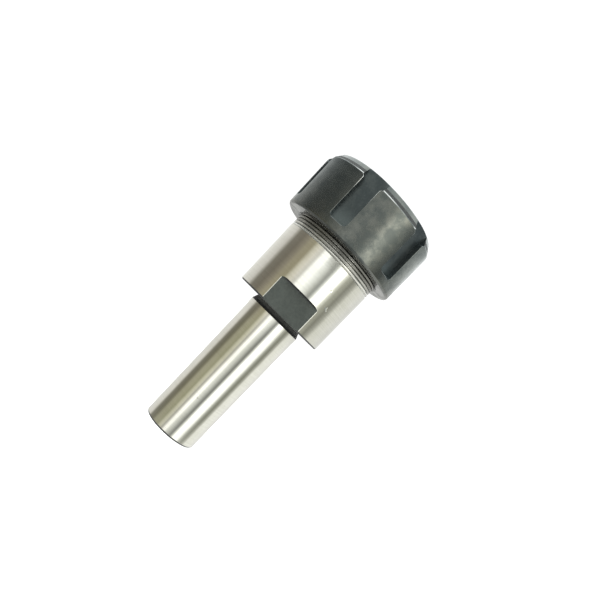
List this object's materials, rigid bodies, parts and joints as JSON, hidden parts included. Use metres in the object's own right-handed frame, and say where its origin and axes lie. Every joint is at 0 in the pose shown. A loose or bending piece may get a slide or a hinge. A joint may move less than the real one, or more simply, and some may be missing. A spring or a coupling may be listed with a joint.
{
  "type": "collet chuck holder",
  "caption": "Straight-shank spring collet chuck: ground steel holder with wrench flats, a slotted collet inside and a black clamping nut with spanner slots that screws over it.",
  "frame": {"origin": "centre of the shank's end face, which the part stands on", "axes": "+Z runs along the tool axis from the shank end to the clamping nut, and the two wrench flats face -Y and +Y"},
  "size_m": [0.042, 0.042, 0.0969],
  "materials": {
    "ground_steel": "hardened and ground bright, black oxide left in the flats and the undercut",
    "collet_steel": "ground spring steel",
    "black_oxide_steel": "satin black oxide"
  },
  "bodies": {
    "holder_body": {"holder": "ground_steel"},
    "collet_body": {"collet": "collet_steel"},
    "nut_body": {"nut": "black_oxide_steel"}
  },
  "joints": [
    {"name": "collet_travel", "type": "slide", "parent": "holder_body", "child": "collet_body", "axis": [0, 0, 1], "range_m": [0, 0.01]},
    {"name": "nut_turn", "type": "hinge", "parent": "collet_body", "child": "nut_body", "pos_m": [0, 0, 0.0869], "axis": [0, 0, 1], "range_deg": [0, 3600]}
  ],
  "couplings": [
    {"joint": "collet_travel", "follows": "nut_turn", "m_per_rad": 0.00015915}
  ]
}
